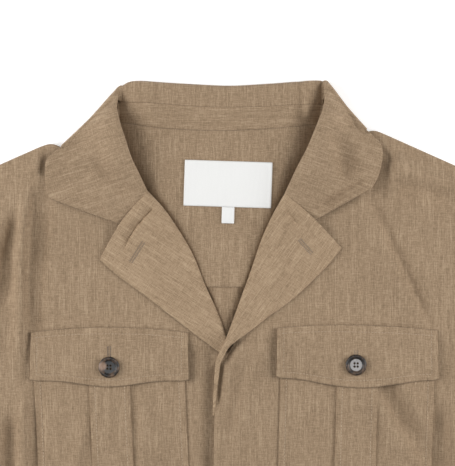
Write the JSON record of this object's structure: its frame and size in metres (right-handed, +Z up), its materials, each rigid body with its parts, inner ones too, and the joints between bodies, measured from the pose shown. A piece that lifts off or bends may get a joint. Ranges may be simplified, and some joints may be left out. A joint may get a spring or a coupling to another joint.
{
  "type": "cropped jacket",
  "caption": "Cropped linen jacket laid flat on its back, with a notched collar and lapels, a concealed front fly, pleated chest pockets under buttoned flaps and long sleeves.",
  "frame": {"origin": "middle of the footprint, on the surface that the jacket lies on", "axes": "+X to the wearer's left, along the spread of the sleeves; +Y from the hem to the collar; +Z up out of the front"},
  "size_m": [1.3866, 0.6357, 0.022],
  "materials": {
    "linen": "taupe slub linen in plain weave, soft and matte",
    "horn": "dark brown horn-like button, polished rim and grey dished middle",
    "label_tape": "plain white woven label tape"
  },
  "bodies": {
    "root": {"back": "linen", "back_facing": "linen", "collar_stand": "linen", "collar": "linen", "fly_facing": "linen", "front_right": "linen", "front_left": "linen", "lapel_right": "linen", "lapel_left": "linen", "sleeve_right": "linen", "sleeve_left": "linen", "pocket_right": "linen", "pocket_left": "linen", "flap_right": "linen", "flap_left": "linen", "button_right": "horn", "button_left": "horn", "neck_label": "label_tape", "size_tag": "label_tape"}
  },
  "joints": []
}
